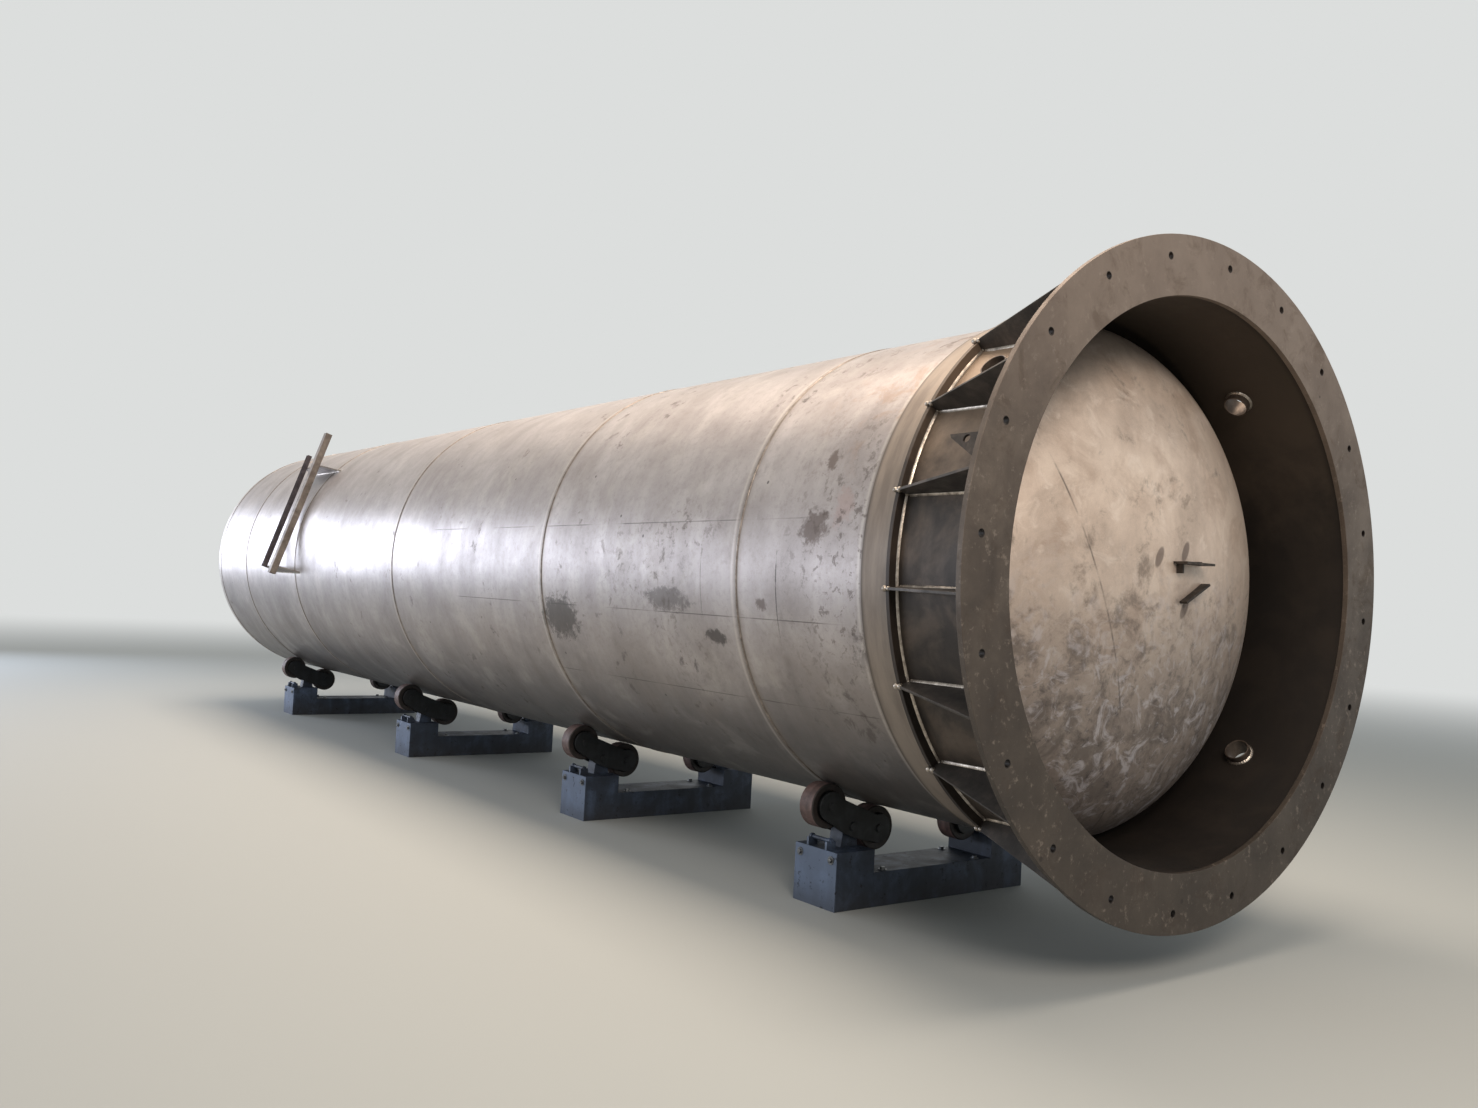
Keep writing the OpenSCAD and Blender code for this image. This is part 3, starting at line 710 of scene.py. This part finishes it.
class TANK_OT_shell(bpy.types.Operator):
    """Rolled courses of the shell, slightly wavy and drawn in at each seam"""

    bl_idname = "tank.shell"
    bl_label = "Shell courses"

    def execute(self, context):
        wave = context.scene.tank_sizes.plate_wave
        for k, name in enumerate(COURSES):
            lo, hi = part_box(name)
            x = np.linspace(lo[0], hi[0], 33)[None, :]
            theta = turn(ROUND_STEPS)[:, None]
            pull = sum(np.exp(-((x - end) / PULL_REACH) ** 2) for end in (lo[0], hi[0]))
            waver = soft_noise(np.sin(theta) * 2.2 + k, np.cos(theta) * 2.2 + x, 40 + k)
            waver = 0.5 + 0.5 * waver
            r_out = SHELL_R - SHELL_INSET - wave * (PULL_SHARE * pull + WAVER_SHARE * waver)
            outer = around(x, r_out, theta)
            inner = around(x[:, ::-1], r_out[:, ::-1] - SHELL_T, theta)
            mesh = grid_mesh(name + "_plate", np.concatenate([outer, inner], 1), True, True)
            piece(mesh, "vessel", "shell", (name,))
        return {"FINISHED"}


def dish(sign, seed):
    """Elliptical dish: the outer meridian is a quarter ellipse from its flange to the
    crown, and the inner one lies a wall thickness inside it."""
    lo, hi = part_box("near_head" if sign > 0 else "far_head")
    depth = (hi[0] - lo[0]) - HEAD_FLANGE
    start = NEAR_TANGENT if sign > 0 else FAR_TANGENT
    t = np.linspace(0, math.pi / 2, 49)
    walls = [(np.concatenate([[0.0], HEAD_FLANGE + (depth - wall) * np.sin(t)]),
              np.concatenate([[1.0], np.cos(t)]) * radius)
             for wall, radius in ((0, SHELL_R - HEAD_INSET), (HEAD_T, SHELL_R - HEAD_T))]
    x, r = (np.concatenate([out, back[::-1]])[None, :] for out, back in zip(*walls))
    theta = turn(ROUND_STEPS)[:, None]
    waver = 0.5 + 0.5 * soft_noise(r * np.cos(theta) * 5, r * np.sin(theta) * 5, seed)
    dip = HEAD_WAVE * waver * np.clip(1 - (r / SHELL_R) ** 6, 0, 1)
    return around(start + sign * (x - dip), r, theta)


class TANK_OT_heads(bpy.types.Operator):
    """Both dished heads"""

    bl_idname = "tank.heads"
    bl_label = "Dished heads"

    def execute(self, context):
        near = grid_mesh("near_head_dish", dish(1, 5), True, True)
        piece(near, "vessel", "head", ("near_head",))
        far = grid_mesh("far_head_dish", dish(-1, 6), True, True)
        piece(far, "vessel", "far_head", ("far_head",))
        return {"FINISHED"}


def butt_weld(lift, root, toe, reach, rise=1):
    """Section of a butt weld: pairs of a share of half its width and a radius."""
    return ((-1, SHELL_R - root), (-reach, SHELL_R - toe), (0, SHELL_R + lift * rise),
            (reach, SHELL_R - toe), (1, SHELL_R - root))


class TANK_OT_girth_welds(bpy.types.Operator):
    """Beads round the shell at every seam, and one along each course"""

    bl_idname = "tank.girth_welds"
    bl_label = "Girth and long welds"

    def execute(self, context):
        width = context.scene.tank_sizes.girth_width
        theta = turn(BEAD_STEPS)
        for k, seam in enumerate(SEAMS):
            rise = 1 + 0.35 * soft_noise(theta * 60, theta * 23, 70 + k)
            edge = width / 2 * (1 + 0.12 * soft_noise(theta * 45, theta * 31, 90 + k))
            rows = [around(seam + q * edge, r, theta) for q, r in butt_weld(*GIRTH_WELD, rise)]
            mesh = grid_mesh("girth_weld_%d" % (k + 1), np.stack(rows, 1), True, True, 60)
            piece(mesh, "vessel", "girth")
        grids = []
        for k, name in enumerate(COURSES):
            lo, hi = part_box(name)
            angle = math.radians(LONG_WELD_ANGLES[k])
            x = np.linspace(lo[0] + END_GAP, hi[0] - END_GAP, 160)
            half = LONG_HALF * (1 + 0.15 * soft_noise(x * 60, x * 17, 120 + k)) / SHELL_R
            rows = [around(x, r, angle + q * half) for q, r in butt_weld(*LONG_WELD)]
            grids.append(capped(np.stack(rows, 1)))
        mesh = join_grids("long_welds", grids, False, True, 60)
        piece(mesh, "vessel", "girth")
        return {"FINISHED"}


class TANK_OT_skirt(bpy.types.Operator):
    """Skirt, rings, gussets, sleeves and the small plates welded to them"""

    bl_idname = "tank.skirt"
    bl_label = "Skirt and rings"

    def execute(self, context):
        edge = context.scene.tank_sizes.edge_round
        for node, finish, slot in (
                ("skirt", "skirt", "skirt_plate"), ("compression_ring", "skirt", "skirt_plate"),
                ("base_ring", "ring", "ring_plate"), ("gussets", "gusset", "skirt_plate"),
                ("vent_sleeves", "sleeve", "sleeve_pipe"), ("skirt_lug", "cleat", "cleat_steel"),
                ("head_cleats", "cleat", "cleat_steel")):
            dressed(node, "vessel", finish, bevel=edge)
        return {"FINISHED"}


class TANK_OT_skirt_welds(bpy.types.Operator):
    """Fillet beads at the gussets, the brackets, the sleeves and the rings"""

    bl_idname = "tank.skirt_welds"
    bl_label = "Skirt welds"

    def execute(self, context):
        size = context.scene.tank_sizes.bead_size
        back = np.array([-1.0, 0, 0])
        paths = []
        x = np.linspace(COMP_HI[0] + 0.02, RING_BACK - 0.02, 90)
        r = np.linspace(SKIRT_R + 0.022, RING_R - 0.012, 46)
        for deg in GUSSET_ANGLES:
            a = math.radians(deg)
            out, side = spoke(a)
            foot, up = around(x, SKIRT_R, a), around(RING_BACK, r, a)
            for s in (-1, 1):
                paths.append((foot + side * s * GUSSET_T / 2, out, side * s))
            for s in (-1, 1):
                paths.append((up + side * s * GUSSET_T / 2, side * s, back))
        bead("gusset_welds", paths, size, 11)
        x = np.linspace(BRACKET_LO[0] + END_GAP, BRACKET_HI[0] - END_GAP, 130)
        paths = []
        for side in (-1, 1):
            for s in (-1, 1):
                a = BAR_ANGLE + math.asin((side * BRACKET_AT + s * BRACKET_T / 2) / SHELL_R)
                paths.append((around(x, SHELL_R, a), spoke(BAR_ANGLE)[0], spoke(a)[1] * s))
        bead("bracket_welds", paths, size * 0.8, 13)
        t = turn(120)
        paths = []
        for deg in VENT_ANGLES:
            out, side = spoke(math.radians(deg))
            away = np.outer(np.cos(t), [1.0, 0, 0]) + np.outer(np.sin(t), side)
            for face, s in ((SKIRT_R, 1), (SKIRT_R - SKIRT_T, -1)):
                high = np.sqrt(face ** 2 - (VENT_R * np.sin(t)) ** 2)
                foot = away * VENT_R + np.outer(high, out) + np.array([VENT_X, 0, AXIS_Z])
                paths.append((foot, out * s, away))
        bead("sleeve_welds", paths, size, 14, wrap=True)
        theta = turn(BEAD_STEPS)
        outward = np.stack([0 * theta, np.cos(theta), np.sin(theta)], 1)
        rings = [(around(COMP_HI[0], SKIRT_R, theta), outward, -back),
                 (around(COMP_LO[0], SKIRT_R, theta), outward, back),
                 (around(SKIRT_END, SHELL_R, theta), outward, back),
                 (around(RING_BACK, SKIRT_R, theta), outward, back)]
        bead("ring_welds", rings, size, 12, ripple=2 * math.pi * SKIRT_R / 360,
             wrap=True)
        return {"FINISHED"}


class TANK_OT_tip_blobs(bpy.types.Operator):
    """Bright blobs of weld at the tips of the gussets"""

    bl_idname = "tank.tip_blobs"
    bl_label = "Gusset tip blobs"

    def execute(self, context):
        rng = np.random.default_rng(21)
        u = np.linspace(0, math.pi, 9)[:, None]
        v = turn(14)[None, :]
        ball = np.stack([np.cos(u) + 0 * v, np.sin(u) * np.cos(v), np.sin(u) * np.sin(v)], -1)
        grids = []
        for deg in GUSSET_ANGLES:
            for x, r, big in TIPS:
                k = big * rng.uniform(0.8, 1.2)
                seed = int(rng.integers(1e6))
                bump = 1 + 0.12 * soft_noise(ball[..., 0] * 4, ball[..., 1] * 4, seed)
                grids.append(around(x, r, math.radians(deg)) + ball * k * bump[..., None])
        mesh = join_grids("gusset_tip_blobs", grids, False, True, 80)
        piece(mesh, "vessel", "bead")
        return {"FINISHED"}


class TANK_OT_braces(bpy.types.Operator):
    """Box bar, channel and the bracket plates that hold them off the shell"""

    bl_idname = "tank.braces"
    bl_label = "Bracing bars"

    def execute(self, context):
        edge = context.scene.tank_sizes.edge_round
        dressed("brace_bar", "vessel", "bar", bevel=edge)
        dressed("brace_channel", "vessel", "channel", bevel=edge)
        dressed("brace_brackets", "vessel", "bracket", bevel=edge / 2)
        return {"FINISHED"}


class TANK_OT_rolls(bpy.types.Operator):
    """Roll bases and rockers"""

    bl_idname = "tank.rolls"
    bl_label = "Roll bases"

    def execute(self, context):
        edge = context.scene.tank_sizes.edge_round
        for node in BASES:
            dressed(node, "rolls", "base", bevel=edge)
        for node in ROCKERS:
            dressed(node, "rolls", "rocker", bevel=edge)
        return {"FINISHED"}


class TANK_OT_wheels(bpy.types.Operator):
    """Tyred wheels, the tyre's faces told from the rim's by their distance from the axle"""

    bl_idname = "tank.wheels"
    bl_label = "Wheels"

    def execute(self, context):
        for node in WHEELS:
            obj = dressed(node, node, "rim", bevel=WHEEL_EDGE)
            lo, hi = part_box(node)
            for finish in ("tyre", "tread"):
                obj.data.materials.append(FINISHES[finish])
            verts = np.empty(len(obj.data.vertices) * 3)
            obj.data.vertices.foreach_get("co", verts)
            verts = verts.reshape(-1, 3)
            mid = (np.array(lo) + np.array(hi)) / 2
            far = np.hypot(verts[:, 1] - mid[1], verts[:, 2] - mid[2])
            r = (hi[2] - lo[2]) / 2
            low = np.array([min(far[list(p.vertices)]) for p in obj.data.polygons])
            index = (low > r - TYRE_DEPTH).astype(np.int32) + (low > r - TREAD_DEPTH)
            obj.data.polygons.foreach_set("material_index", index)
        return {"FINISHED"}


class TANK_OT_bolts(bpy.types.Operator):
    """Hexagon bolts with washers on the end plates and decks of the roll bases"""

    bl_idname = "tank.bolts"
    bl_label = "Base bolts"

    def execute(self, context):
        grids = []
        for node in BASES:
            lo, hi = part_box(node)
            cx = (lo[0] + hi[0]) / 2
            for y, s in ((lo[1], -1), (hi[1], 1)):
                for dx in (-END_BOLT_X, END_BOLT_X):
                    grids += bolt((cx + dx, y, END_BOLT_Z), (0, s, 0), END_BOLT_R)
            for dy in (-DECK_BOLT_Y, DECK_BOLT_Y):
                for dx in (-DECK_BOLT_X, DECK_BOLT_X):
                    grids += bolt((cx + dx, dy, DECK_BOLT_Z), (0, 0, 1), DECK_BOLT_R)
        mesh = join_grids("base_bolts", grids, False, True, 30)
        piece(mesh, "rolls", "bolt")
        return {"FINISHED"}


def bolt(foot, axis, r):
    """Hexagon head on a round washer: profiles turned about the bolt's own axis, out and up
    as shares of its radius, the head with six sides and a chamfered top."""
    axis = np.array(axis, float)
    side = np.cross(axis, [0.0, 0, 1]) if abs(axis[2]) < 0.5 else np.array([1.0, 0, 0])
    other = np.cross(axis, side)
    made = []
    for sides, rings in ((24, ((0, 0), (1.9, 0), (1.9, 0.28), (0, 0.28))),
                         (6, ((0, 0.2), (1.15, 0.2), (1.15, 1.1), (1.0, 1.25), (0, 1.25)))):
        v = turn(sides)
        rows = [np.array(foot) + axis * h * r
                + np.outer(np.cos(v), side) * q * r + np.outer(np.sin(v), other) * q * r
                for q, h in rings]
        made.append(np.stack(rows, 0))
    return made


def placed(x, y, z, place):
    """Matrix that turns an object to three directions and puts it at a place."""
    return Matrix([[x[i], y[i], z[i], place[i]] for i in range(3)] + [[0, 0, 0, 1]])


def lamp(name, place, aim, size, power, code):
    """Soft rectangle of light at a place, aimed at a point, with its width level."""
    data = bpy.data.lights.new(name, "AREA")
    data.shape = "RECTANGLE"
    data.size, data.size_y = size
    data.energy = power
    data.color = hex_linear(code)[:3]
    data.spread = LAMP_SPREAD
    obj = bpy.data.objects.new(name, data)
    bpy.context.scene.collection.objects.link(obj)
    z = np.array(place, float) - np.array(aim, float)
    z /= np.linalg.norm(z)
    x = np.cross([0, 0, 1], z)
    x /= np.linalg.norm(x)
    obj.matrix_world = placed(x, np.cross(z, x), z, place)


class TANK_OT_studio(bpy.types.Operator):
    """Camera, lamps, pale floor and backdrop"""

    bl_idname = "tank.studio"
    bl_label = "Studio"

    def execute(self, context):
        scene = context.scene
        colours = scene.tank_colours
        camera_data = bpy.data.cameras.new("camera")
        camera_data.sensor_width = SENSOR
        camera_data.lens = LENS
        camera_data.clip_end = 2000
        camera = bpy.data.objects.new("camera", camera_data)
        scene.collection.objects.link(camera)
        yaw, pitch, roll = (math.radians(a) for a in (YAW, PITCH, ROLL))
        ahead = np.array([-math.cos(yaw) * math.cos(pitch), math.sin(yaw) * math.cos(pitch),
                          math.sin(pitch)])
        right = np.cross(ahead, [0, 0, 1])
        right /= np.linalg.norm(right)
        up = np.cross(right, ahead)
        right, up = (right * math.cos(roll) + up * math.sin(roll),
                     -right * math.sin(roll) + up * math.cos(roll))
        camera.matrix_world = placed(right, up, -ahead, CAMERA_AT)
        scene.camera = camera

        for values in LAMPS:
            lamp(*values)
        floor = bpy.data.materials.new("plain_floor")
        tree = empty_tree(floor)
        matt = add(tree, "ShaderNodeBsdfPrincipled",
                   {"Base Color": (*colours.floor, 1), "Roughness": 0.75})
        # Far out the floor passes over into the backdrop
        sky = add(tree, "ShaderNodeEmission", {"Color": (*colours.backdrop, 1), "Strength": 1.0})
        place = add(tree, "ShaderNodeTexCoord")
        fade = step(tree, length(tree, (place, "Object")), FADE_FROM, FADE_TO)
        mixed = add(tree, "ShaderNodeMixShader", {}, {0: fade, 1: (matt, 0), 2: (sky, 0)})
        add(tree, "ShaderNodeOutputMaterial", {}, {"Surface": (mixed, 0)})
        side = np.array([-FLOOR_HALF, FLOOR_HALF], float)
        far, wide = np.meshgrid(side, side, indexing="ij")
        mesh = grid_mesh("floor", np.stack([wide, far, np.zeros((2, 2))], -1))
        ground = bpy.data.objects.new("floor", mesh)
        ground.data.materials.append(floor)
        scene.collection.objects.link(ground)
        world = bpy.data.worlds.new("plain_light")
        scene.world = world
        tree = empty_tree(world)
        backdrop = (*colours.backdrop, 1)
        plain = add(tree, "ShaderNodeBackground", {"Color": backdrop, "Strength": WORLD_LIGHT})
        seen = add(tree, "ShaderNodeBackground", {"Color": backdrop, "Strength": 1.0})
        path = add(tree, "ShaderNodeLightPath")
        both = calc(tree, "MAXIMUM", (path, "Is Camera Ray"), (path, "Is Glossy Ray"))
        mix = add(tree, "ShaderNodeMixShader", {}, {0: both, 1: (plain, 0), 2: (seen, 0)})
        add(tree, "ShaderNodeOutputWorld", {}, {0: (mix, 0)})
        scene.view_settings.view_transform = "Standard"
        return {"FINISHED"}


OPERATORS = (TANK_OT_studio, TANK_OT_shell, TANK_OT_heads, TANK_OT_girth_welds, TANK_OT_skirt,
             TANK_OT_skirt_welds, TANK_OT_tip_blobs, TANK_OT_braces, TANK_OT_rolls,
             TANK_OT_wheels, TANK_OT_bolts)


class TANK_PT_panel(bpy.types.Panel):
    """Lists the tank's pieces and settings"""

    bl_idname = "TANK_PT_panel"
    bl_label = "Pressure tank"
    bl_space_type = "VIEW_3D"
    bl_region_type = "UI"
    bl_category = "Tank"

    def draw(self, context):
        for group in (context.scene.tank_sizes, context.scene.tank_colours):
            for key in group.__annotations__:
                self.layout.prop(group, key)
        for kind in OPERATORS:
            self.layout.operator(kind.bl_idname)


CLASSES = (TankSizes, TankColours, *OPERATORS, TANK_PT_panel)


def register():
    """Registers the classes and hangs the settings on the scene."""
    for kind in CLASSES:
        bpy.utils.register_class(kind)
    bpy.types.Scene.tank_sizes = bpy.props.PointerProperty(type=TankSizes)
    bpy.types.Scene.tank_colours = bpy.props.PointerProperty(type=TankColours)


def unregister():
    """Takes the settings and the classes away again."""
    del bpy.types.Scene.tank_colours
    del bpy.types.Scene.tank_sizes
    for kind in reversed(CLASSES):
        bpy.utils.unregister_class(kind)


def main():
    """Builds every piece in order."""
    register()
    make_finishes()
    for kind in OPERATORS:
        group, call = kind.bl_idname.split(".")
        getattr(getattr(bpy.ops, group), call)()


if __name__ == "__main__":
    main()
